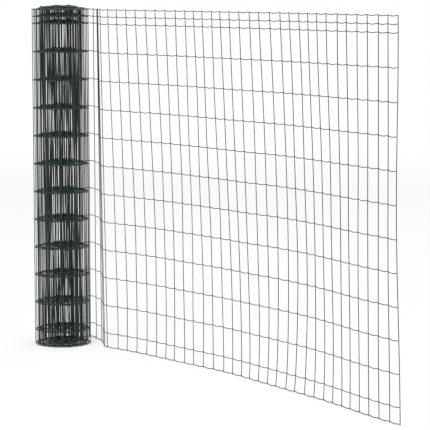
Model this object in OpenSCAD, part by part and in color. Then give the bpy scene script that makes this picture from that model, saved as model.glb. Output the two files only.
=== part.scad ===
// Roll of plastic-coated welded wire fencing, standing on end with a length unrolled.
// Frame: the roll's axis is Z, the floor is z = 0 and the unrolled sheet runs along +X.
// One continuous welded mesh: line wires run the length, stay wires stand across them.

/* [Mesh] */
// Height of the fence over its wires, which is the width of the mesh
fence_h = 1205; // [900:5:1500]
// Outer diameter of the coated wire
wire_d = 2.6; // [1.8:0.1:3]
// Distance between stay wires
stay_pitch = 50; // [40:1:75]
// Distance between line wires in the body of the mesh
line_pitch = 100; // [80:1:110]
// Distance between the closer line wires along the top edge
rim_pitch = 25; // [20:1:40]
// Gaps between the closer line wires along the top edge
rim_gaps = 2; // [1:1:3]
// Depth of the crimp in each line wire between two stay wires
crimp_depth = 2.4; // [1:0.1:4]
// Depth to which a weld presses one wire into the other
weld_depth = 0.45; // [0.3:0.05:0.6]
// Distance by which the stays' cut ends stop short of the mesh's edges
cut_back = 0.2; // [0.1:0.1:1]

/* [Roll] */
// Outer diameter of the wound part
roll_d = 196; // [160:1:260]
// Diameter of the hollow core
core_d = 40; // [30:1:80]
// Turns that are wound up
turns = 16; // [10:1:20]
// Depth of the groove that shows between two turns on an end
turn_groove_depth = 8; // [4:0.5:15]
// Width of that groove
turn_groove_w = 1.2; // [0.8:0.1:1.6]
// Outer turns that end level with each other
level_turns = 4; // [2:1:6]
// Height by which the innermost turn has slid up out of the roll
telescope = 12; // [0:1:25]
// Gap between the roll and the sheet that leaves it
peel_gap = 0.3; // [0.2:0.05:0.6]

/* [Unrolled sheet] */
// Direction round the roll at which the sheet leaves it, from +X
leave_angle = 153; // [145:1:160]
// Straight stretch from the roll to the fold
peel_l = 112; // [95:1:140]
// Radius of the fold, where the sheet turns back
fold_r = 20; // [15:1:30]
// Angle of the fold
fold_turn = 79; // [70:1:85]
// Radius of the slack bend that follows the fold
slack_r = 330; // [250:10:450]
// Angle of the slack bend
slack_turn = 21; // [15:1:30]
// Straight stretch from the slack bend to the bend into the sheet's own line
return_l = 70; // [50:1:120]
// Radius of the bend into the sheet's own line
join_r = 40; // [30:1:60]
// Meshes in the long stretch
sheet_meshes = 31; // [20:1:40]
// Bow of the long stretch at its top edge
bow_top = 44; // [0:1:80]
// Bow of the long stretch at its foot
bow_foot = 60; // [0:1:90]
// Distance by which the foot of the long stretch stands out behind its top
foot_out = 24; // [0:1:50]

/* [Hidden] */
wire_sides = 6;
wire_corner_r = wire_d / 2 / cos(180 / wire_sides);
bend_step = 27;
coat_green = "#31453f";
roll_green = "#22332e";

// Heights of the line wires, from the foot to the top edge
foot_z = wire_corner_r + crimp_depth;
top_z = fence_h - wire_corner_r;
rim_z = top_z - rim_gaps * rim_pitch;
smallest_foot_gap = 0.4 * line_pitch;
body_gaps = floor((rim_z - foot_z - smallest_foot_gap) / line_pitch);
line_heights = concat(
    [foot_z],
    [for (i = [body_gaps : -1 : 0]) rim_z - i * line_pitch],
    [for (i = [1 : rim_gaps]) rim_z + i * rim_pitch]
);

// Winding of the roll
roll_r = roll_d / 2;
core_r = core_d / 2;
turn_pitch = (roll_r - core_r) / turns;

// Plan of the unrolled sheet, from the roll to the free end: stretches of [length, turn to the left]
line_r = roll_r + peel_gap + wire_d / 2;
start = line_r * along(leave_angle);
leave_heading = leave_angle - 90;
join_turn = fold_turn + slack_turn - leave_heading;
sheet_l = sheet_meshes * stay_pitch;
stretches = [
    [peel_l, 0],
    [arc_length(fold_r, fold_turn), -fold_turn],
    [arc_length(slack_r, slack_turn), -slack_turn],
    [return_l, 0],
    [arc_length(join_r, join_turn), join_turn],
    [sheet_l + wire_d, 0]
];
FOLD = 1;
SLACK = 2;
JOIN = 4;
SHEET = 5;
function along(angle) = [cos(angle), sin(angle)];
function left_of(angle) = [-sin(angle), cos(angle)];
function arc_length(r, turn) = r * turn * PI / 180;

// Point reached by going a length along an arc, or a straight line if the turn is nothing
function moved(from, angle, length, turn) =
    turn == 0 ? from + length * along(angle)
    : let (r = length / turn * 180 / PI) from + r * (left_of(angle) - left_of(angle + turn));

// Where each stretch begins: distance along the sheet, heading and plan point
begin_s = [for (i = 0, s = 0; i < len(stretches); s = s + stretches[i][0], i = i + 1) s];
begin_heading = [for (i = 0, h = leave_heading; i < len(stretches); h = h + stretches[i][1], i = i + 1) h];
begin_point = [
    for (i = 0, p = start; i < len(stretches);
        p = moved(p, begin_heading[i], stretches[i][0], stretches[i][1]), i = i + 1) p
];
function stretch_at(s, i = 0) =
    i + 1 < len(stretches) && s >= begin_s[i + 1] ? stretch_at(s, i + 1) : i;
function part_of(s) = let (i = stretch_at(s)) (s - begin_s[i]) / stretches[i][0];
function heading(s) = let (i = stretch_at(s)) begin_heading[i] + part_of(s) * stretches[i][1];
function plan(s) = let (i = stretch_at(s))
    moved(begin_point[i], begin_heading[i], s - begin_s[i], part_of(s) * stretches[i][1]);
return_start = begin_s[SLACK];
sheet_start = begin_s[SHEET];
sheet_stop = sheet_start + sheet_l;

// The foot swings out over the return stretch, and the long stretch bows along its length
function swing(s) = min(1, max(0, (s - return_start) / (sheet_start - return_start)));
function bow(s) = s < sheet_start ? 0 : sin(180 * (s - sheet_start) / sheet_l);
function offset_y(s, up) = bow(s) * (bow_foot + (bow_top - bow_foot) * up) + foot_out * swing(s) * (1 - up);
function on_sheet(s, z) = concat(plan(s) + [0, offset_y(s, z / fence_h)], z);
function side(s) = concat(left_of(heading(s)), 0);

// Stay wires are counted back from the free end of the sheet
stay_count = floor(sheet_stop / stay_pitch) + 1;
stay_at = [for (i = [stay_count - 1 : -1 : 0]) sheet_stop - i * stay_pitch];
stay_offset = wire_d - weld_depth;
free_end = wire_d / 2;

// Cuts between the stretches lie midway between two stays
function between(i) = (stay_at[i] + stay_at[i + 1]) / 2;
function last_stay_before(s, i = 0) = stay_at[i + 1] > s ? i : last_stay_before(s, i + 1);
fold_cut = between(last_stay_before(begin_s[FOLD] + stretches[FOLD][0] / 2));
join_cut = between(last_stay_before(sheet_start - stay_pitch / 2));
near_cut = between(stay_count - 1 - round(sheet_meshes * 2 / 3));
middle_cut = between(stay_count - 1 - round(sheet_meshes / 3));

// Points along a line wire from one cut to the next: each stay, each crimp and each step of a sharp bend
function bend_stops(i) = let (steps = ceil(abs(stretches[i][1]) / bend_step))
    [for (k = [0 : steps]) begin_s[i] + stretches[i][0] * k / steps];
crimp_stops = [for (i = [0 : stay_count - 2]) between(i)];
all_stops = concat(stay_at, crimp_stops, bend_stops(FOLD), bend_stops(JOIN));
function stops(from, to) = sorted(concat(
    [from, to],
    [for (s = all_stops) if (s > from + wire_d && s < to - wire_d) s]
));
function sorted(v) = len(v) < 2 ? v : let (pivot = v[floor(len(v) / 2)]) concat(
    sorted([for (s = v) if (s < pivot - wire_d) s]),
    [pivot],
    sorted([for (s = v) if (s > pivot + wire_d) s])
);
function crimp(s) = let (phase = (sheet_stop - s) / stay_pitch, part = phase - floor(phase))
    crimp_depth * (1 - abs(2 * part - 1));

// A round wire swept through a list of points, with the section kept upright
module swept_wire(points, sides) {
    n = len(points);
    ring = [for (p = [0 : n - 1], k = [0 : wire_sides - 1])
        points[p] + wire_corner_r * (cos(360 * (k + 0.5) / wire_sides) * sides[p]
            + [0, 0, sin(360 * (k + 0.5) / wire_sides)])];
    skin = [for (p = [0 : n - 2], k = [0 : wire_sides - 1])
        let (a = p * wire_sides + k, b = p * wire_sides + (k + 1) % wire_sides)
        [a, a + wire_sides, b + wire_sides, b]];
    first = [for (k = [0 : wire_sides - 1]) k];
    last = [for (k = [wire_sides - 1 : -1 : 0]) (n - 1) * wire_sides + k];
    polyhedron(points = ring, faces = concat(skin, [first, last]));
}

// A straight wire from one point to another
module straight_wire(from, to) {
    run = to - from;
    length = norm(run);
    translate(from)
        rotate([0, acos(run[2] / length), atan2(run[1], run[0])])
            cylinder(h = length, r = wire_corner_r, $fn = wire_sides);
}

// The welded mesh of one stretch, from one cut to the next
module mesh_stretch(from, to) {
    at = stops(from, to);
    for (z = line_heights)
        swept_wire(
            [for (s = at) on_sheet(s, z) - [0, 0, crimp(s)]],
            [for (s = at) side(s)]
        );
    for (s = stay_at)
        if (s > from && s < to)
            straight_wire(
                on_sheet(s, cut_back) + stay_offset * side(s),
                on_sheet(s, fence_h - cut_back) + stay_offset * side(s)
            );
}

// Half of the roll's section, one step for each turn
function turn_lift(i) = telescope * max(0, i - level_turns + 1) / (turns - level_turns);
module turn_section(i) {
    outer = roll_r - i * turn_pitch;
    land = turn_pitch - turn_groove_w;
    lift = turn_lift(i);
    translate([outer - land, lift])
        square([land, fence_h]);
    if (i < turns - 1)
        translate([outer - turn_pitch, turn_lift(i + 1) + turn_groove_depth])
            square([turn_pitch, fence_h + lift - turn_lift(i + 1) - 2 * turn_groove_depth]);
}

module wound_roll() {
    color(roll_green)
        rotate_extrude($fn = 96)
            union() {
                for (i = [0 : turns - 1])
                    turn_section(i);
                translate([core_r, turn_lift(turns - 1)])
                    square([turn_groove_w, fence_h]);
            }
}

module peel_stretch() {
    color(coat_green) mesh_stretch(0, fold_cut);
}

module return_stretch() {
    color(coat_green) mesh_stretch(fold_cut, join_cut);
}

module sheet_near() {
    color(coat_green) mesh_stretch(join_cut, near_cut);
}

module sheet_middle() {
    color(coat_green) mesh_stretch(near_cut, middle_cut);
}

module sheet_end() {
    color(coat_green) mesh_stretch(middle_cut, sheet_stop + free_end);
}

wound_roll();
peel_stretch();
return_stretch();
sheet_near();
sheet_middle();
sheet_end();
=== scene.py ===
"""Looks of a roll of plastic-coated welded wire fencing that stands on end, partly unrolled.

The fence is one continuous mesh, and it is drawn wire by wire. Line wires follow the spiral of the roll
and then the unrolled sheet, stay wires stand across them, and every crossing is welded.
"""

import logging
import math
from dataclasses import dataclass, field
from enum import Enum, IntEnum

import bpy
import numpy as np
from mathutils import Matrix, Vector

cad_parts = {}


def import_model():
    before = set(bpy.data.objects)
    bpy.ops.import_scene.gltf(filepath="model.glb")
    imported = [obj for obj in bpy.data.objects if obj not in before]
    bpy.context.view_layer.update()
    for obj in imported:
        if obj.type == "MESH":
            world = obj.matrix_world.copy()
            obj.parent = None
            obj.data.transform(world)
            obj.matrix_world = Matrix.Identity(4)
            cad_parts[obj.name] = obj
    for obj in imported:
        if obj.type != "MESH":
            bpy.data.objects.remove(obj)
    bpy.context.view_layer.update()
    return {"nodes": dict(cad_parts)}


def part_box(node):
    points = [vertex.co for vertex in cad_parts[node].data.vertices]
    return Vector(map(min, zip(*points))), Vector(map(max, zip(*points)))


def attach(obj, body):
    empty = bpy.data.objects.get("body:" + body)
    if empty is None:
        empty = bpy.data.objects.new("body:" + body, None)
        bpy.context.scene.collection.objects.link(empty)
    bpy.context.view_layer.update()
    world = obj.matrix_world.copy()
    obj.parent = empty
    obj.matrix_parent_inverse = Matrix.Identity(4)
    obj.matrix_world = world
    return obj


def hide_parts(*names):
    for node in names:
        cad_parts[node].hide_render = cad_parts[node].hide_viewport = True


LOG = logging.getLogger("wire_fence")
MM = 0.001
BODY = "root"
HEADING = "heading"
FACING = "facing"


class Stretch(IntEnum):
    """Stretches of the unrolled sheet, from the roll to its free end."""

    PEEL = 0
    FOLD = 1
    SLACK = 2
    RETURN = 3
    JOIN = 4
    SHEET = 5


class Slot(Enum):
    """Material slots of the record."""

    WOUND = "wound_mesh"
    SHEET = "coated_wire"


def linear_colour(srgb_hex: str) -> tuple[float, float, float, float]:
    """Turns an sRGB hex colour into linear values.

    Args:
        srgb_hex: Colour such as "#31453F".

    Returns:
        Linear red, green, blue and an alpha of 1.
    """
    channels = [int(srgb_hex[i : i + 2], 16) / 255 for i in (1, 3, 5)]
    linear = [c / 12.92 if c <= 0.04045 else ((c + 0.055) / 1.055) ** 2.4 for c in channels]
    return (*linear, 1.0)


def add_node(
    tree: bpy.types.NodeTree,
    kind: str,
    inputs: dict[str | int, object] | None = None,
    **settings: object,
) -> bpy.types.Node:
    """Adds a node with its settings, and fills or links its inputs.

    Args:
        tree: Tree that takes the node.
        kind: Blender's name of the node's type.
        inputs: Value or linked output of each input, by the input's name or place.
        **settings: Properties of the node itself.

    Returns:
        The new node.
    """
    node = tree.nodes.new(kind)
    for name, value in settings.items():
        setattr(node, name, value)
    for key, value in (inputs or {}).items():
        named = [s for s in node.inputs if s.enabled and s.name == key]
        socket = named[0] if named else node.inputs[key]
        if isinstance(value, bpy.types.NodeSocket):
            tree.links.new(value, socket)
        else:
            socket.default_value = value
    return node


@dataclass(frozen=True)
class CoatFinish:
    """Soft plastic coat melted on over galvanised welded wire.

    It flows evenly round the wire, so it gives the eye one dark green with a broad satin sheen, a faint
    mottle where it is thicker or thinner, and the fine orange peel of a dipped coat.
    """

    name: str = "green plastic-coated wire"
    thick: str = "#162623"
    thin: str = "#243A36"
    mottle_size: float = 24 * MM
    ior: float = 1.53
    specular: float = 0.3
    smoothest: float = 0.36
    roughest: float = 0.52
    peel_size: float = 1.2 * MM
    peel_height: float = 0.04 * MM

    def make(self) -> bpy.types.Material:
        """Makes the material.

        Returns:
            Material on Object coordinates. The orange peel is drawn coarser than the real one, so that
            it shows.
        """
        material = bpy.data.materials.new(self.name)
        material.use_nodes = True
        tree = material.node_tree
        shader = tree.nodes["Principled BSDF"]
        shader.inputs["IOR"].default_value = self.ior
        shader.inputs["Specular IOR Level"].default_value = self.specular
        place = add_node(tree, "ShaderNodeTexCoord").outputs["Object"]
        mottle = add_node(
            tree, "ShaderNodeTexNoise", {"Vector": place, "Scale": 1 / self.mottle_size, "Detail": 3.0}
        ).outputs["Fac"]
        colour = add_node(
            tree,
            "ShaderNodeMix",
            {"Factor": mottle, "A": linear_colour(self.thick), "B": linear_colour(self.thin)},
            data_type="RGBA",
        )
        tree.links.new(colour.outputs[2], shader.inputs["Base Color"])
        gloss = add_node(
            tree,
            "ShaderNodeMapRange",
            {"Value": mottle, "To Min": self.smoothest, "To Max": self.roughest},
        )
        tree.links.new(gloss.outputs["Result"], shader.inputs["Roughness"])
        peel = add_node(tree, "ShaderNodeTexNoise", {"Vector": place, "Scale": 1 / self.peel_size})
        bump = add_node(
            tree, "ShaderNodeBump", {"Height": peel.outputs["Fac"], "Distance": self.peel_height}
        )
        tree.links.new(bump.outputs["Normal"], shader.inputs["Normal"])
        return material


@dataclass(frozen=True)
class CutSteelFinish:
    """Galvanised steel wire, sheared through at its end.

    The cut shows bare grey metal with a dull, torn grain and a trace of smeared zinc.
    """

    name: str = "sheared galvanised steel"
    steel: str = "#8A8D8C"
    zinc: str = "#B4B8B8"
    grain_size: float = 0.8 * MM
    roughness: float = 0.5

    def make(self) -> bpy.types.Material:
        """Makes the material, with a grain as coarse as it needs to show."""
        material = bpy.data.materials.new(self.name)
        material.use_nodes = True
        tree = material.node_tree
        shader = tree.nodes["Principled BSDF"]
        shader.inputs["Metallic"].default_value = 1.0
        shader.inputs["Roughness"].default_value = self.roughness
        place = add_node(tree, "ShaderNodeTexCoord").outputs["Object"]
        grain = add_node(tree, "ShaderNodeTexNoise", {"Vector": place, "Scale": 1 / self.grain_size})
        colour = add_node(
            tree,
            "ShaderNodeMix",
            {
                "Factor": grain.outputs["Fac"],
                "A": linear_colour(self.steel),
                "B": linear_colour(self.zinc),
            },
            data_type="RGBA",
        )
        tree.links.new(colour.outputs[2], shader.inputs["Base Color"])
        return material


@dataclass
class NodeShape:
    """A Geometry Nodes tree that makes one kind of shape, with named inputs for its sizes.

    Attributes:
        name: Name of the tree.
        sockets: Type of each named input, in order.
    """

    name: str
    sockets: dict[str, str]
    tree: bpy.types.NodeTree = field(init=False)
    given: bpy.types.Node = field(init=False)

    def __post_init__(self) -> None:
        """Starts the tree with its inputs and its output."""
        self.tree = bpy.data.node_groups.new(self.name, "GeometryNodeTree")
        face = self.tree.interface
        face.new_socket("Geometry", in_out="OUTPUT", socket_type="NodeSocketGeometry")
        face.new_socket("Geometry", in_out="INPUT", socket_type="NodeSocketGeometry")
        for label, kind in {**self.sockets, "Finish": "NodeSocketMaterial"}.items():
            face.new_socket(label, in_out="INPUT", socket_type=kind)
        self.given = add_node(self.tree, "NodeGroupInput")

    def size(self, label: str) -> bpy.types.NodeSocket:
        """Socket in the tree that gives a named input."""
        return self.given.outputs[label]

    def close(self, shape: bpy.types.NodeSocket) -> None:
        """Ends the tree: instances realized, faces smooth and the finish set.

        Args:
            shape: Socket that gives the finished shape.
        """
        whole = add_node(self.tree, "GeometryNodeRealizeInstances", {0: shape})
        smooth = add_node(self.tree, "GeometryNodeSetShadeSmooth", {0: whole.outputs[0]})
        dressed = add_node(
            self.tree, "GeometryNodeSetMaterial", {0: smooth.outputs[0], "Material": self.size("Finish")}
        )
        add_node(self.tree, "NodeGroupOutput", {0: dressed.outputs[0]})

    def make(self, guide: bpy.types.Mesh, **sizes: object) -> bpy.types.Object:
        """Makes a piece from its guide points or lines.

        Args:
            guide: Mesh of points or edges that the shape repeats on or follows.
            **sizes: Values of the named inputs, with spaces in their names as underscores.

        Returns:
            Object with a plain mesh, at the origin.
        """
        piece = bpy.data.objects.new(guide.name, guide)
        bpy.context.scene.collection.objects.link(piece)
        modifier = piece.modifiers.new(self.name, "NODES")
        modifier.node_group = self.tree
        values = {label.replace("_", " ").capitalize(): value for label, value in sizes.items()}
        for item in self.tree.interface.items_tree:
            if item.in_out == "INPUT" and item.name in values:
                modifier[item.identifier] = values[item.name]
        depsgraph = bpy.context.evaluated_depsgraph_get()
        shape = bpy.data.meshes.new_from_object(piece.evaluated_get(depsgraph), depsgraph=depsgraph)
        piece.modifiers.remove(modifier)
        piece.data = shape
        shape.name = guide.name + "_mesh"
        return piece


class RoundWire(NodeShape):
    """Round wire swept along guide lines."""

    def __init__(self) -> None:
        """Builds the tree."""
        super().__init__("round wire", {"Radius": "NodeSocketFloat", "Sides": "NodeSocketInt"})
        lines = add_node(self.tree, "GeometryNodeMeshToCurve", {0: self.size("Geometry")})
        section = add_node(
            self.tree,
            "GeometryNodeCurvePrimitiveCircle",
            {"Resolution": self.size("Sides"), "Radius": self.size("Radius")},
        )
        swept = add_node(
            self.tree,
            "GeometryNodeCurveToMesh",
            {"Curve": lines.outputs[0], "Profile Curve": section.outputs[0], "Fill Caps": True},
        )
        self.close(swept.outputs[0])


class WeldBead(NodeShape):
    """Swelling of the coat round each weld, turned to the line wire that it sits on."""

    SEGMENTS = 6
    RINGS = 4

    def __init__(self) -> None:
        """Builds the tree."""
        lengths = {label: "NodeSocketFloat" for label in ("Length", "Depth", "Height", "Least", "Most")}
        super().__init__("weld bead", {**lengths, "Seed": "NodeSocketInt"})
        ball = add_node(
            self.tree,
            "GeometryNodeMeshUVSphere",
            {"Segments": self.SEGMENTS, "Rings": self.RINGS, "Radius": 0.5},
        )
        heading = add_node(
            self.tree, "GeometryNodeInputNamedAttribute", {"Name": HEADING}, data_type="FLOAT"
        )
        turned = add_node(self.tree, "ShaderNodeCombineXYZ", {"Z": heading.outputs["Attribute"]})
        size = add_node(
            self.tree,
            "ShaderNodeCombineXYZ",
            {"X": self.size("Length"), "Y": self.size("Depth"), "Z": self.size("Height")},
        )
        uneven = add_node(
            self.tree,
            "FunctionNodeRandomValue",
            {"Min": self.size("Least"), "Max": self.size("Most"), "Seed": self.size("Seed")},
            data_type="FLOAT",
        )
        spread = [s for s in uneven.outputs if s.enabled][0]
        scale = add_node(
            self.tree, "ShaderNodeVectorMath", {0: size.outputs[0], "Scale": spread}, operation="SCALE"
        )
        beads = add_node(
            self.tree,
            "GeometryNodeInstanceOnPoints",
            {
                "Points": self.size("Geometry"),
                "Instance": ball.outputs["Mesh"],
                "Rotation": turned.outputs[0],
                "Scale": scale.outputs[0],
            },
        )
        self.close(beads.outputs[0])


class CutEnd(NodeShape):
    """Steel core that shows at each cut end of a wire."""

    SIDES = 8

    def __init__(self) -> None:
        """Builds the tree."""
        super().__init__("cut end", {"Radius": "NodeSocketFloat", "Depth": "NodeSocketFloat"})
        stub = add_node(
            self.tree,
            "GeometryNodeMeshCylinder",
            {"Vertices": self.SIDES, "Radius": self.size("Radius"), "Depth": self.size("Depth")},
        )
        facing = add_node(
            self.tree, "GeometryNodeInputNamedAttribute", {"Name": FACING}, data_type="FLOAT_VECTOR"
        )
        turned = add_node(
            self.tree,
            "FunctionNodeAlignRotationToVector",
            {"Vector": facing.outputs["Attribute"]},
            axis="Z",
        )
        stubs = add_node(
            self.tree,
            "GeometryNodeInstanceOnPoints",
            {
                "Points": self.size("Geometry"),
                "Instance": stub.outputs["Mesh"],
                "Rotation": turned.outputs[0],
            },
        )
        self.close(stubs.outputs[0])


def guide_lines(name: str, lines: list[np.ndarray]) -> bpy.types.Mesh:
    """Makes a mesh of open poly-lines.

    Args:
        name: Name of the mesh.
        lines: Points of each line, in metres.

    Returns:
        Mesh of vertices and edges.
    """
    mesh = bpy.data.meshes.new(name)
    edges: list[tuple[int, int]] = []
    start = 0
    for line in lines:
        edges += [(i, i + 1) for i in range(start, start + len(line) - 1)]
        start += len(line)
    mesh.from_pydata(np.concatenate(lines).tolist(), edges, [])
    return mesh


def guide_points(name: str, points: np.ndarray, label: str, values: np.ndarray) -> bpy.types.Mesh:
    """Makes a mesh of loose points that carry one attribute.

    Args:
        name: Name of the mesh.
        points: Points, in metres.
        label: Name of the attribute.
        values: One number or one vector for each point.

    Returns:
        Mesh of vertices.
    """
    mesh = bpy.data.meshes.new(name)
    mesh.from_pydata(points.tolist(), [], [])
    vectors = values.ndim == 2
    attribute = mesh.attributes.new(label, "FLOAT_VECTOR" if vectors else "FLOAT", "POINT")
    attribute.data.foreach_set("vector" if vectors else "value", values.astype(np.float32).ravel())
    return mesh


@dataclass(frozen=True)
class WeldedMesh:
    """Sizes of the mesh, which are the same in the roll and in the sheet.

    Attributes:
        fence_h: Height over the wires.
        wire_d: Diameter over the coat.
        core_d: Diameter of the steel inside the coat.
        stay_pitch: Distance between stay wires.
        line_pitch: Distance between line wires in the body of the mesh.
        rim_pitch: Distance between the closer line wires along the top edge.
        rim_gaps: Gaps between those closer wires.
        least_foot_gap: Smallest gap that is left above the lowest line wire.
        crimp_depth: Depth of the crimp in each line wire between two stays.
        weld_depth: Depth to which a weld presses one wire into the other.
        cut_back: Distance by which the stays' cut ends stop short of the edges.
    """

    fence_h: float
    wire_d: float = 2.6 * MM
    core_d: float = 2.0 * MM
    stay_pitch: float = 50 * MM
    line_pitch: float = 100 * MM
    rim_pitch: float = 25 * MM
    rim_gaps: int = 2
    least_foot_gap: float = 40 * MM
    crimp_depth: float = 2.4 * MM
    weld_depth: float = 0.45 * MM
    cut_back: float = 0.2 * MM

    @property
    def wire_r(self) -> float:
        """Radius over the coat."""
        return self.wire_d / 2

    @property
    def stay_offset(self) -> float:
        """Distance from the middle of a line wire to the middle of a stay."""
        return self.wire_d - self.weld_depth

    def line_heights(self) -> np.ndarray:
        """Heights of the line wires, from the foot to the top edge."""
        foot = self.wire_r + self.crimp_depth
        rim = self.fence_h - self.wire_r - self.rim_gaps * self.rim_pitch
        body_gaps = int((rim - foot - self.least_foot_gap) / self.line_pitch)
        body = rim - self.line_pitch * np.arange(body_gaps, -1, -1)
        closer = rim + self.rim_pitch * np.arange(1, self.rim_gaps + 1)
        return np.concatenate([[foot], body, closer])

    def stay_heights(self) -> np.ndarray:
        """Heights of the points along a stay: its ends, each crossing and the middle of each gap."""
        crossings = self.line_heights()
        middles = (crossings[:-1] + crossings[1:]) / 2
        ends = [self.cut_back, self.fence_h - self.cut_back]
        return np.sort(np.concatenate([crossings[1:-1], middles, ends]))


@dataclass
class FencePath:
    """Line that the mesh follows in plan: a spiral in the roll, then the stretches of the sheet.

    Distances along it count from where the sheet leaves the roll, and are negative inside the roll.

    Attributes:
        mesh: Sizes of the mesh.
        roll_r: Outer radius of the roll.
        core_r: Radius of the hollow core.
        turns: Turns that are wound up.
        squeeze: Distance by which the winding is pressed in where it is tight.
        squeeze_turns: Turns from one tight place to the next.
        level_turns: Outer turns over which the slide grows to its full height.
        slip: Half of the most that a turn has slid up unevenly.
        slip_waves: Share, waves to each radian wound and phase of the waves that make it uneven.
        peel_gap: Gap between the roll and the sheet that leaves it.
        leave_angle: Direction round the roll at which the sheet leaves it, from +X.
        peel_l: Straight stretch from the roll to the fold.
        fold_r: Radius of the fold.
        fold_turn: Angle of the fold.
        slack_r: Radius of the slack bend after the fold.
        slack_turn: Angle of the slack bend.
        return_l: Straight stretch back towards the sheet's own line.
        join_r: Radius of the bend into that line.
        sheet_meshes: Meshes in the long stretch.
        bow_top: Bow of the long stretch at its top edge.
        bow_foot: Bow of the long stretch at its foot.
        foot_out: Distance by which the long stretch's foot stands out behind its top.
        tuck: Distance by which the fold is drawn in towards the roll.
        tuck_back: Distance by which the fold stands out behind, so that its mesh keeps its length.
        settle: Distance by which the top of the return stretch is drawn in the same way.
        tuck_heading: Direction in plan against which they are drawn in.
        tuck_meshes: Meshes from the stay before the fold to the long stretch.
        fold_meshes: Meshes over which the fold is drawn in.
        tip_meshes: Meshes over which it stands out behind.
        belly: Distance by which the long stretch bellies out below half its height.
        belly_skew: Power of the height that brings the belly down; 1 is half-way up.
        pleat: Depth of the broad pleats in the belly.
        pleats: Number of those pleats.
        foot_wave: Depth of the waves along the foot.
        foot_waves: Number of those waves.
        ripple: Depth of the ripples that lie one way at the foot and the other at the top.
        ripples: Number of those ripples.
        curl: Distance by which the free end curls forward at half its height.
        curl_meshes: Meshes over which it curls.
        dent: Depth of a shallow upright dent in the long stretch.
        dent_at: Shares of the length and the height at which the dent is deepest.
        dent_reach: Shares of the length and the height over which it dies away.
        top_push: Distance by which the long stretch's top is pushed forward between its ends.
        top_wave: Depth of the waves along the top.
        top_waves: Number of those waves.
    """

    mesh: WeldedMesh
    roll_r: float
    core_r: float = 20 * MM
    turns: int = 16
    squeeze: float = 1.3 * MM
    squeeze_turns: int = 6
    level_turns: int = 8
    slip: float = 7 * MM
    slip_waves: tuple[tuple[float, float, float], ...] = ((0.7, 0.83, 0.0), (0.3, 0.31, 1.3))
    peel_gap: float = 0.3 * MM
    leave_angle: float = math.radians(153)
    peel_l: float = 112 * MM
    fold_r: float = 20 * MM
    fold_turn: float = math.radians(79)
    slack_r: float = 330 * MM
    slack_turn: float = math.radians(21)
    return_l: float = 70 * MM
    join_r: float = 40 * MM
    sheet_meshes: int = 31
    bow_top: float = 44 * MM
    bow_foot: float = 60 * MM
    foot_out: float = 24 * MM
    tuck: float = 9 * MM
    tuck_back: float = 7 * MM
    settle: float = 9 * MM
    tuck_heading: float = math.radians(53)
    tuck_meshes: int = 5
    fold_meshes: int = 2
    tip_meshes: int = 1
    belly: float = 15 * MM
    belly_skew: float = 0.7
    pleat: float = 6.5 * MM
    pleats: int = 4
    foot_wave: float = 6.5 * MM
    foot_waves: int = 2
    ripple: float = 3.5 * MM
    ripples: int = 6
    curl: float = 11 * MM
    curl_meshes: int = 2
    dent: float = 6.6 * MM
    dent_at: tuple[float, float] = (0.49, 0.45)
    dent_reach: tuple[float, float] = (0.05, 0.36)
    top_push: float = 3 * MM
    top_wave: float = 3.5 * MM
    top_waves: int = 5
    coil_angles: np.ndarray = field(init=False)
    coil_runs: np.ndarray = field(init=False)
    lengths: np.ndarray = field(init=False)
    bends: np.ndarray = field(init=False)
    starts: np.ndarray = field(init=False)
    headings: np.ndarray = field(init=False)
    points: np.ndarray = field(init=False)

    def __post_init__(self) -> None:
        """Measures the coil, and works out where each stretch of the sheet begins."""
        self.coil_angles = np.radians(np.arange(360 * self.turns + 1))
        steps = math.radians(1) * self.coil_radius((self.coil_angles[1:] + self.coil_angles[:-1]) / 2)
        self.coil_runs = np.concatenate([[0.0], np.cumsum(steps)])
        heading = self.leave_angle - math.pi / 2
        join_turn = self.fold_turn + self.slack_turn - heading
        bends = {Stretch.FOLD: -self.fold_turn, Stretch.SLACK: -self.slack_turn, Stretch.JOIN: join_turn}
        lengths = {
            Stretch.PEEL: self.peel_l,
            Stretch.FOLD: self.fold_r * self.fold_turn,
            Stretch.SLACK: self.slack_r * self.slack_turn,
            Stretch.RETURN: self.return_l,
            Stretch.JOIN: self.join_r * join_turn,
            Stretch.SHEET: self.sheet_l + self.mesh.wire_d,
        }
        self.lengths = np.array([lengths[s] for s in Stretch])
        self.bends = np.array([bends.get(s, 0.0) for s in Stretch])
        self.starts = np.concatenate([[0.0], np.cumsum(self.lengths)[:-1]])
        self.headings = heading + np.concatenate([[0.0], np.cumsum(self.bends)[:-1]])
        self.points = np.zeros((len(Stretch), 2))
        self.points[0] = self.line_r * np.array([math.cos(self.leave_angle), math.sin(self.leave_angle)])
        for stretch in list(Stretch)[1:]:
            before = np.array([stretch - 1])
            self.points[stretch] = self._moved(before, self.lengths[before])[0][0]

    @property
    def line_r(self) -> float:
        """Radius of the line wires where the sheet leaves the roll."""
        return self.roll_r + self.peel_gap + self.mesh.wire_r

    @property
    def turn_gain(self) -> float:
        """Radius that the spiral gains for each radian."""
        return (self.roll_r - self.core_r) / self.turns / (2 * math.pi)

    @property
    def sheet_l(self) -> float:
        """Length of the long stretch."""
        return self.sheet_meshes * self.mesh.stay_pitch

    @property
    def last_stay(self) -> float:
        """Distance to the stay at the free end."""
        return float(self.starts[Stretch.SHEET]) + self.sheet_l

    def coil_radius(self, wound: np.ndarray) -> np.ndarray:
        """Radius of the line wires at angles wound back from the roll's outer end."""
        pressed = self.squeeze * np.sin(wound / self.squeeze_turns / 2) ** 2
        return self.line_r - self.turn_gain * wound - pressed

    def wound_length(self, turns: float) -> float:
        """Length of mesh in the given number of outer turns."""
        return float(np.interp(turns * 2 * math.pi, self.coil_angles, self.coil_runs))

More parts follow.
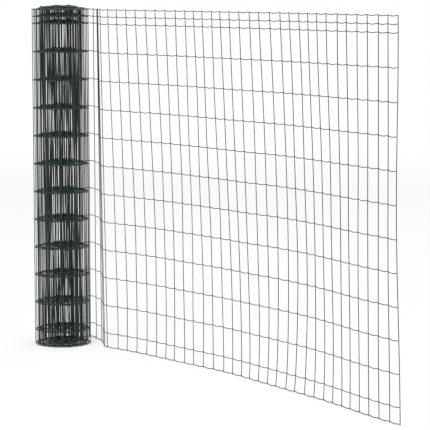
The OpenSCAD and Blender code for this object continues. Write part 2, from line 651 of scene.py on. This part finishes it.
    def stays(self, first: float, last: float) -> np.ndarray:
        """Distances to the stays between two distances, counted back from the free end."""
        count = int((self.last_stay - first) / self.mesh.stay_pitch) + 1
        runs = self.last_stay - self.mesh.stay_pitch * np.arange(count - 1, -1, -1)
        return runs[runs < last]

    def _moved(self, stretch: np.ndarray, gone: np.ndarray) -> tuple[np.ndarray, np.ndarray]:
        """Plan points and headings at lengths gone along stretches.

        Args:
            stretch: Stretch of each point.
            gone: Length from the stretch's beginning.

        Returns:
            Points in plan, and headings.
        """
        from_heading = self.headings[stretch]
        turned = self.bends[stretch] * gone / self.lengths[stretch]
        half = turned / 2
        chord = gone * np.sinc(half / np.pi)
        toward = np.stack([np.cos(from_heading + half), np.sin(from_heading + half)], -1)
        return self.points[stretch] + chord[:, None] * toward, from_heading + turned

    def _wound_angle(self, run: np.ndarray) -> np.ndarray:
        """Angle wound back from the roll's outer end."""
        return np.interp(-run, self.coil_runs, self.coil_angles)

    def plan(self, run: np.ndarray) -> tuple[np.ndarray, np.ndarray]:
        """Plan points and headings along the mesh.

        Args:
            run: Distances along the mesh.

        Returns:
            Points in plan, and headings in radians.
        """
        wound = self._wound_angle(run)
        angle = self.leave_angle + wound
        spiral = self.coil_radius(wound)[:, None] * np.stack([np.cos(angle), np.sin(angle)], -1)
        stretch = np.searchsorted(self.starts, np.maximum(run, 0), side="right") - 1
        laid, heading = self._moved(stretch, np.maximum(run, 0) - self.starts[stretch])
        inside = run < 0
        return np.where(inside[:, None], spiral, laid), np.where(inside, angle - math.pi / 2, heading)

    def lift(self, run: np.ndarray) -> np.ndarray:
        """Height by which each turn has slid up: none at the outer end, and unevenly further in."""
        wound = self._wound_angle(run)
        loose = np.minimum(1, wound / (2 * math.pi) / self.level_turns)
        uneven = 1 + sum(share * np.sin(rate * wound + phase) for share, rate, phase in self.slip_waves)
        return self.slip * uneven * loose

    def tucked(self, run: np.ndarray, up: np.ndarray) -> np.ndarray:
        """Moves of the fold and the return stretch, drawn in towards the roll and most so at the top.

        Args:
            run: Distances along the mesh.
            up: Share of the fence's height.

        Returns:
            Moves in plan.
        """
        meshes = self.tuck_meshes + (run - self.starts[Stretch.SHEET]) / self.mesh.stay_pitch
        whole, fold, tip = (
            np.sin(np.pi * np.clip(meshes / count, 0, 1)) ** 2
            for count in (self.tuck_meshes, self.fold_meshes, self.tip_meshes)
        )
        inward = self.tuck * fold + self.settle * whole * (1 + up) / 2
        along = np.array([math.cos(self.tuck_heading), math.sin(self.tuck_heading)])
        behind = np.array([-along[1], along[0]])
        return (self.tuck_back * tip)[:, None] * behind - inward[:, None] * along

    def lean(self, run: np.ndarray, up: np.ndarray) -> np.ndarray:
        """Sideways place of the sheet: it bows along its length, and its foot stands out behind its top.

        Args:
            run: Distances along the mesh.
            up: Share of the fence's height.

        Returns:
            Distances along +Y.
        """
        begin, full = self.starts[Stretch.SLACK], self.starts[Stretch.SHEET]
        swing = np.clip((run - begin) / (full - begin), 0, 1)
        along = np.clip((run - full) / self.sheet_l, 0, 1)
        bow = np.sin(np.pi * along) * (self.bow_foot + (self.bow_top - self.bow_foot) * up)
        slack = self.waver(along, up) - self.pushed(along, up)
        return bow + self.foot_out * swing * (1 - up) + slack

    def waver(self, along: np.ndarray, up: np.ndarray) -> np.ndarray:
        """Small waves of the long stretch, which stands slack between its two ends.

        Args:
            along: Share of the long stretch's length.
            up: Share of the fence's height.

        Returns:
            Distances along +Y.
        """
        turn = np.pi * along
        middle = np.sin(np.pi * up**self.belly_skew)
        out = (self.belly * np.sin(turn) + self.pleat * np.sin(self.pleats * turn)) * middle
        foot = self.foot_wave * np.sin(self.foot_waves * turn) * (1 - up)
        rippled = self.ripple * np.sin(self.ripples * turn) * np.cos(np.pi * up)
        near_end = np.clip(1 - (1 - along) * self.sheet_meshes / self.curl_meshes, 0, 1)
        curled = self.curl * near_end**2 * np.sin(np.pi * up) ** 2
        return out + foot + rippled - curled

    def pushed(self, along: np.ndarray, up: np.ndarray) -> np.ndarray:
        """How far the long stretch is pushed forward: at a shallow dent, and along its top.

        Args:
            along: Share of the long stretch's length.
            up: Share of the fence's height.

        Returns:
            Distances along -Y.
        """
        beside = (along - self.dent_at[0]) / self.dent_reach[0]
        above = (up - self.dent_at[1]) / self.dent_reach[1]
        turn = np.pi * along
        top = self.top_push * np.sin(turn) + self.top_wave * np.sin(self.top_waves * turn)
        return self.dent * np.exp(-(beside**2) - above**2) + top * up

    def place(self, run: np.ndarray, height: np.ndarray, out: float = 0.0) -> np.ndarray:
        """Points of the mesh.

        Args:
            run: Distances along the mesh.
            height: Heights in the mesh.
            out: Distance from the line wires' middle plane towards the stays.

        Returns:
            Points in the frame, in metres.
        """
        flat, heading = self.plan(run)
        up = height / self.mesh.fence_h
        flat = flat + self.tucked(run, up)
        x = flat[:, 0] - out * np.sin(heading)
        y = flat[:, 1] + out * np.cos(heading) + self.lean(run, up)
        return np.stack([x, y, height + self.lift(run)], -1)


@dataclass
class Shapes:
    """The three Geometry Nodes shapes and the finishes that they take."""

    wire: RoundWire = field(default_factory=RoundWire)
    bead: WeldBead = field(default_factory=WeldBead)
    end: CutEnd = field(default_factory=CutEnd)
    coat: bpy.types.Material = field(default_factory=lambda: CoatFinish().make())
    steel: bpy.types.Material = field(default_factory=lambda: CutSteelFinish().make())


@dataclass
class FencePart:
    """A length of the fence: its line wires, stays, welds and cut ends.

    Attributes:
        path: Line that the mesh follows.
        shapes: Shapes and finishes of the wires.
        prefix: First word of the pieces' names.
        slot: Not used; meant to name the pieces' material slot.
        nodes: Solids that the pieces stand for.
        seed: Start of the random draws.
        points_per_mesh: Points of a line wire in each mesh.
        wire_sides: Sides of a swept wire.
        stay_stray: Sideways error in the place of a stay.
        stay_drift: Sideways wander of a stay along its height.
        stay_lean: Sideways difference between a stay's two ends.
        drift_wave: Height of one wave of that wander.
        bead_swell: Size of a weld bead against the wire.
        bead_spread: Least and most size of a bead.
    """

    path: FencePath
    shapes: Shapes
    prefix: str
    slot: Slot
    nodes: tuple[str, ...]
    seed: int
    points_per_mesh: int = 8
    wire_sides: int = 8
    stay_stray: float = 2 * MM
    stay_drift: float = 2.5 * MM
    stay_lean: float = 4 * MM
    drift_wave: float = 640 * MM
    bead_swell: float = 1.22
    bead_spread: tuple[float, float] = (0.92, 1.08)

    @property
    def mesh(self) -> WeldedMesh:
        """Sizes of the mesh."""
        return self.path.mesh

    def reach(self) -> tuple[float, float]:
        """Distances along the path at which the part begins and ends."""
        raise NotImplementedError

    def free_ends(self) -> np.ndarray:
        """Distances along the path at which line wires are cut."""
        raise NotImplementedError

    def take(self, piece: bpy.types.Object) -> None:
        """Puts a piece on the fence's body, in place of the part's solids.

        Args:
            piece: Finished piece.
        """
        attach(piece, BODY)
        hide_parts(*self.nodes)
        piece.data.calc_loop_triangles()
        LOG.info("%s: %d triangles", piece.name, len(piece.data.loop_triangles))

    def line_wires(self, name: str, first: float, last: float) -> None:
        """Makes the line wires between two distances, crimped once in each mesh.

        Args:
            name: Name of the piece.
            first: Distance at which the wires begin.
            last: Distance at which they end.
        """
        step = self.mesh.stay_pitch / self.points_per_mesh
        steps = int((self.path.last_stay - first) / step)
        inner = self.path.last_stay - step * np.arange(steps, -1, -1)
        keep = (inner > first + step / 4) & (inner < last - step / 4)
        run = np.concatenate([[first], inner[keep], [last]])
        phase = (self.path.last_stay - run) / self.mesh.stay_pitch
        crimp = self.mesh.crimp_depth * np.sin(np.pi * phase) ** 2
        lines = [self.path.place(run, z - crimp) for z in self.mesh.line_heights()]
        guide = guide_lines(f"{self.prefix}_{name}", lines)
        piece = self.shapes.wire.make(
            guide, radius=self.mesh.wire_r, sides=self.wire_sides, finish=self.shapes.coat
        )
        self.take(piece)

    def drifts(self, height: np.ndarray, count: int) -> np.ndarray:
        """Sideways wander of every stay at given heights.

        Args:
            height: Heights in the mesh.
            count: Number of stays.

        Returns:
            Distances along the mesh, one row for each stay.
        """
        draws = np.random.default_rng(self.seed).uniform(-1, 1, (count, 4))
        up = height / self.mesh.fence_h
        wave = np.sin(2 * np.pi * height / self.drift_wave + np.pi * draws[:, :1])
        lean = self.stay_lean * draws[:, 2:3] * (up - 0.5)
        return self.stay_drift * draws[:, 1:2] * wave + lean + self.stay_stray * draws[:, 3:]

    def crossings(self, height: np.ndarray, out: float) -> np.ndarray:
        """Points of every stay at given heights.

        Args:
            height: Heights in the mesh.
            out: Distance from the line wires' middle plane towards the stays.

        Returns:
            Points, by stay and height.
        """
        first, last = self.reach()
        edge = self.mesh.wire_r
        runs = self.path.stays(first, last)
        moved = np.clip(runs[:, None] + self.drifts(height, len(runs)), first + edge, last - edge)
        points = [self.path.place(run, height, out) for run in moved]
        return np.array(points)

    def stays(self) -> None:
        """Makes the stay wires."""
        lines = self.crossings(self.mesh.stay_heights(), self.mesh.stay_offset)
        guide = guide_lines(f"{self.prefix}_stays", list(lines))
        piece = self.shapes.wire.make(
            guide, radius=self.mesh.wire_r, sides=self.wire_sides, finish=self.shapes.coat
        )
        self.take(piece)

    def welds(self) -> None:
        """Makes the weld beads, midway between the two wires of each crossing."""
        heights = self.mesh.line_heights()
        points = self.crossings(heights, self.mesh.stay_offset / 2).reshape(-1, 3)
        headings = self.path.plan(self.path.stays(*self.reach()))[1]
        guide = guide_points(f"{self.prefix}_welds", points, HEADING, np.repeat(headings, len(heights)))
        bead = self.mesh.wire_d * self.bead_swell
        piece = self.shapes.bead.make(
            guide,
            length=bead,
            depth=self.mesh.stay_offset + self.mesh.wire_r,
            height=bead,
            least=self.bead_spread[0],
            most=self.bead_spread[1],
            seed=self.seed,
            finish=self.shapes.coat,
        )
        self.take(piece)

    def cut_ends(self) -> None:
        """Makes the steel cores that show at the stays' ends and at the line wires' cut ends."""
        ends = np.array([self.mesh.cut_back, self.mesh.fence_h - self.mesh.cut_back])
        points = self.crossings(ends, self.mesh.stay_offset).reshape(-1, 3)
        facing = np.tile([[0.0, 0.0, -1.0], [0.0, 0.0, 1.0]], (len(points) // 2, 1))
        heights = self.mesh.line_heights()
        for run in self.free_ends():
            outward = 1 if run > 0 else -1
            heading = self.path.plan(np.array([run]))[1][0]
            points = np.concatenate([points, self.path.place(np.full(len(heights), run), heights)])
            away = outward * np.array([[math.cos(heading), math.sin(heading), 0.0]])
            facing = np.concatenate([facing, np.repeat(away, len(heights), axis=0)])
        guide = guide_points(f"{self.prefix}_cut_ends", points, FACING, facing)
        piece = self.shapes.end.make(
            guide, radius=self.mesh.core_d / 2, depth=self.mesh.cut_back, finish=self.shapes.steel
        )
        self.take(piece)

    def build(self) -> None:
        """Makes every piece of the part."""
        raise NotImplementedError


@dataclass
class WoundRoll(FencePart):
    """The part of the fence that is still wound up.

    Attributes:
        outer_turns: Turns in the outer of the two pieces that hold the line wires.
    """

    outer_turns: int = 7
    stay_stray: float = 2.5 * MM
    stay_drift: float = 2.5 * MM
    stay_lean: float = 5 * MM

    def reach(self) -> tuple[float, float]:
        """From the spiral's inner end to where the sheet leaves it."""
        return -self.path.wound_length(self.path.turns), 0.0

    def free_ends(self) -> np.ndarray:
        """The spiral's inner end."""
        return np.array([self.reach()[0]])

    def build(self) -> None:
        """Makes the wound wires, in two pieces for the line wires."""
        first, last = self.reach()
        middle = -self.path.wound_length(self.outer_turns)
        self.line_wires("line_wires_inner", first, middle)
        self.line_wires("line_wires_outer", middle, last)
        self.stays()
        self.welds()
        self.cut_ends()


@dataclass
class UnrolledSheet(FencePart):
    """The part of the fence that has been unrolled and folded back."""

    def reach(self) -> tuple[float, float]:
        """From where the sheet leaves the roll to just past the last stay."""
        return 0.0, self.path.last_stay + self.mesh.wire_r

    def free_ends(self) -> np.ndarray:
        """The free end of the sheet."""
        return np.array([self.reach()[1]])

    def build(self) -> None:
        """Makes the unrolled wires."""
        self.line_wires("line_wires", *self.reach())
        self.stays()
        self.welds()
        self.cut_ends()


@dataclass(frozen=True)
class Lamp:
    """A soft square lamp that looks at the fence.

    Attributes:
        name: Name of the lamp.
        azimuth: Direction round the fence, in degrees from -Y.
        elevation: Height above the horizon, in degrees.
        distance: Distance to the camera's target.
        side: Length of the lamp's side.
        power: Power in watts.
    """

    name: str
    azimuth: float
    elevation: float
    distance: float
    side: float
    power: float


@dataclass
class Studio:
    """Plain white studio: floor, soft lamps, even surround and the camera.

    Attributes:
        target: Point that the camera looks at.
        azimuth: Direction of the camera round the fence, in degrees from -Y.
        elevation: Height of the camera above the horizon, in degrees.
        distance: Distance from the camera to the target.
        focal_px: Focal length in pixels of an image that is image_px wide.
        image_px: Width of the image.
        sensor: Width of the camera's sensor in millimetres.
        surround: Strength of the even light from all round.
        floor_r: Radius of the floor.
        floor_fade: Shares of that radius between which the floor fades into the surround.
        floor_shade: Share of the floor's own light and shadow that is seen; the rest is a white glow.
        hidden_reach: Distance within which wires overhead dim that glow by ambient occlusion, a painted
            shade that keeps the floor from reading as plain white.
        paper: Colour of the floor.
        lamps: Soft lamps.
    """

    target: tuple[float, float, float] = (0.5674, 0.2613, 0.5019)
    azimuth: float = 53.14
    elevation: float = 6.78
    distance: float = 6.721
    focal_px: float = 1950.5
    image_px: int = 430
    sensor: float = 36.0
    surround: float = 0.55
    floor_r: float = 9.0
    floor_fade: tuple[float, float] = (0.55, 0.95)
    floor_shade: float = 0.12
    hidden_reach: float = 300 * MM
    paper: str = "#F4F4F2"
    lamps: tuple[Lamp, ...] = (
        Lamp("key", azimuth=10, elevation=48, distance=4.5, side=2.6, power=110),
        Lamp("fill", azimuth=100, elevation=35, distance=5.0, side=3.0, power=60),
        Lamp("back", azimuth=215, elevation=50, distance=4.5, side=2.0, power=45),
    )

    @staticmethod
    def look(azimuth: float, elevation: float) -> Vector:
        """Direction from the fence towards a camera or lamp at these angles in degrees."""
        around, above = math.radians(azimuth), math.radians(elevation)
        flat = math.cos(above)
        return Vector((math.sin(around) * flat, -math.cos(around) * flat, math.sin(above)))

    def put(
        self, data: bpy.types.ID, name: str, azimuth: float, elevation: float, distance: float
    ) -> bpy.types.Object:
        """Places a camera or lamp round the target, facing it.

        Args:
            data: Camera or lamp data.
            name: Name of the object.
            azimuth: Direction round the target, in degrees from -Y.
            elevation: Angle above the horizon, in degrees.
            distance: Distance to the target.

        Returns:
            The placed object.
        """
        holder = bpy.data.objects.new(name, data)
        bpy.context.scene.collection.objects.link(holder)
        back = self.look(azimuth, elevation)
        holder.location = Vector(self.target) + back * distance
        holder.rotation_euler = (-back).to_track_quat("-Z", "Y").to_euler()
        return holder

    def add_camera(self) -> None:
        """Adds the camera at the viewing angle, with no shift."""
        camera = bpy.data.cameras.new("camera")
        camera.sensor_width = self.sensor
        camera.lens = self.focal_px * self.sensor / self.image_px
        camera.clip_end = 100.0
        holder = self.put(camera, "camera", self.azimuth, self.elevation, self.distance)
        bpy.context.scene.camera = holder

    def add_lamps(self) -> None:
        """Adds the soft lamps."""
        for lamp in self.lamps:
            light = bpy.data.lights.new(lamp.name, "AREA")
            light.shape = "SQUARE"
            light.size = lamp.side
            light.energy = lamp.power
            self.put(light, lamp.name, lamp.azimuth, lamp.elevation, lamp.distance)

    def seen_directly(self, tree: bpy.types.NodeTree) -> bpy.types.NodeSocket:
        """Socket that is 1 for what the camera sees, straight or by reflection, and 0 for other light."""
        path = add_node(tree, "ShaderNodeLightPath")
        mirrored = add_node(
            tree,
            "ShaderNodeMath",
            {0: path.outputs["Is Glossy Ray"], 1: path.outputs["Is Transmission Ray"]},
            operation="MAXIMUM",
        )
        seen = add_node(
            tree,
            "ShaderNodeMath",
            {0: path.outputs["Is Camera Ray"], 1: mirrored.outputs[0]},
            operation="MAXIMUM",
        )
        return seen.outputs[0]

    def add_surround(self) -> None:
        """Adds an even surround, which is white where it is seen."""
        world = bpy.data.worlds.new("white surround")
        bpy.context.scene.world = world
        world.use_nodes = True
        tree = world.node_tree
        strength = add_node(
            tree,
            "ShaderNodeMapRange",
            {"Value": self.seen_directly(tree), "To Min": self.surround, "To Max": 1.0},
        )
        background = tree.nodes["Background"]
        background.inputs["Color"].default_value = (1.0, 1.0, 1.0, 1.0)
        tree.links.new(strength.outputs["Result"], background.inputs["Strength"])

    def add_floor(self) -> None:
        """Adds a white paper floor, which takes shadow and fades into the surround at its edge."""
        mesh = bpy.data.meshes.new("floor")
        corners = [self.look(angle, 0) * self.floor_r for angle in range(0, 360, 5)]
        mesh.from_pydata([tuple(c) for c in corners], [], [list(range(len(corners)))])
        floor = bpy.data.objects.new("floor", mesh)
        bpy.context.scene.collection.objects.link(floor)
        mesh.materials.append(self.paper_material())

    def paper_material(self) -> bpy.types.Material:
        """Makes the floor's matt white paper.

        Returns:
            Material that is matt white, glows white where it is seen, is darkened by painted shade where
            wires overhead occlude it, and is clear at the floor's edge.
        """
        material = bpy.data.materials.new("white paper")
        material.use_nodes = True
        tree = material.node_tree
        tree.nodes.clear()
        place = add_node(tree, "ShaderNodeTexCoord").outputs["Object"]
        reach = add_node(tree, "ShaderNodeVectorMath", {0: place}, operation="LENGTH")
        fade_from, fade_to = (share * self.floor_r for share in self.floor_fade)
        fade = add_node(
            tree,
            "ShaderNodeMapRange",
            {"Value": reach.outputs["Value"], "From Min": fade_from, "From Max": fade_to},
            interpolation_type="SMOOTHSTEP",
        )
        matt = add_node(tree, "ShaderNodeBsdfDiffuse", {"Color": linear_colour(self.paper)})
        white = add_node(tree, "ShaderNodeEmission", {"Strength": 1.0})
        # Painted shade: ambient occlusion dims the floor's white glow where wires hang overhead, in place
        # of a lamp's shadow.
        open_sky = add_node(tree, "ShaderNodeAmbientOcclusion", {"Distance": self.hidden_reach})
        seen_glow_with_painted_shade = add_node(
            tree,
            "ShaderNodeMath",
            {0: self.seen_directly(tree), 1: open_sky.outputs["AO"]},
            operation="MULTIPLY",
        )
        plain = add_node(
            tree,
            "ShaderNodeMath",
            {0: seen_glow_with_painted_shade.outputs[0], 1: 1 - self.floor_shade},
            operation="MULTIPLY",
        )
        sheet = add_node(
            tree, "ShaderNodeMixShader", {0: plain.outputs[0], 1: matt.outputs[0], 2: white.outputs[0]}
        )
        clear = add_node(tree, "ShaderNodeBsdfTransparent")
        mixed = add_node(
            tree,
            "ShaderNodeMixShader",
            {0: fade.outputs["Result"], 1: sheet.outputs[0], 2: clear.outputs[0]},
        )
        add_node(tree, "ShaderNodeOutputMaterial", {"Surface": mixed.outputs[0]})
        return material

    def build(self) -> None:
        """Sets up the studio and the view transform."""
        bpy.context.scene.view_settings.view_transform = "Standard"
        self.add_surround()
        self.add_floor()
        self.add_lamps()
        self.add_camera()


def main() -> None:
    """Builds the fence round the frame's solids, and the studio that shows it."""
    logging.basicConfig(level=logging.INFO, format="%(name)s %(message)s")
    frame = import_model()
    LOG.info("frame nodes: %s", ", ".join(sorted(frame["nodes"])))
    mesh = WeldedMesh(fence_h=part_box("sheet_end")[1].z)
    path = FencePath(mesh, roll_r=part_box("wound_roll")[1].x)
    shapes = Shapes()
    sheet_nodes = tuple(sorted(name for name in frame["nodes"] if name != "wound_roll"))
    WoundRoll(path, shapes, "wound", Slot.WOUND, ("wound_roll",), seed=63).build()
    UnrolledSheet(path, shapes, "sheet", Slot.SHEET, sheet_nodes, seed=8).build()
    Studio().build()


if __name__ == "__main__":
    main()
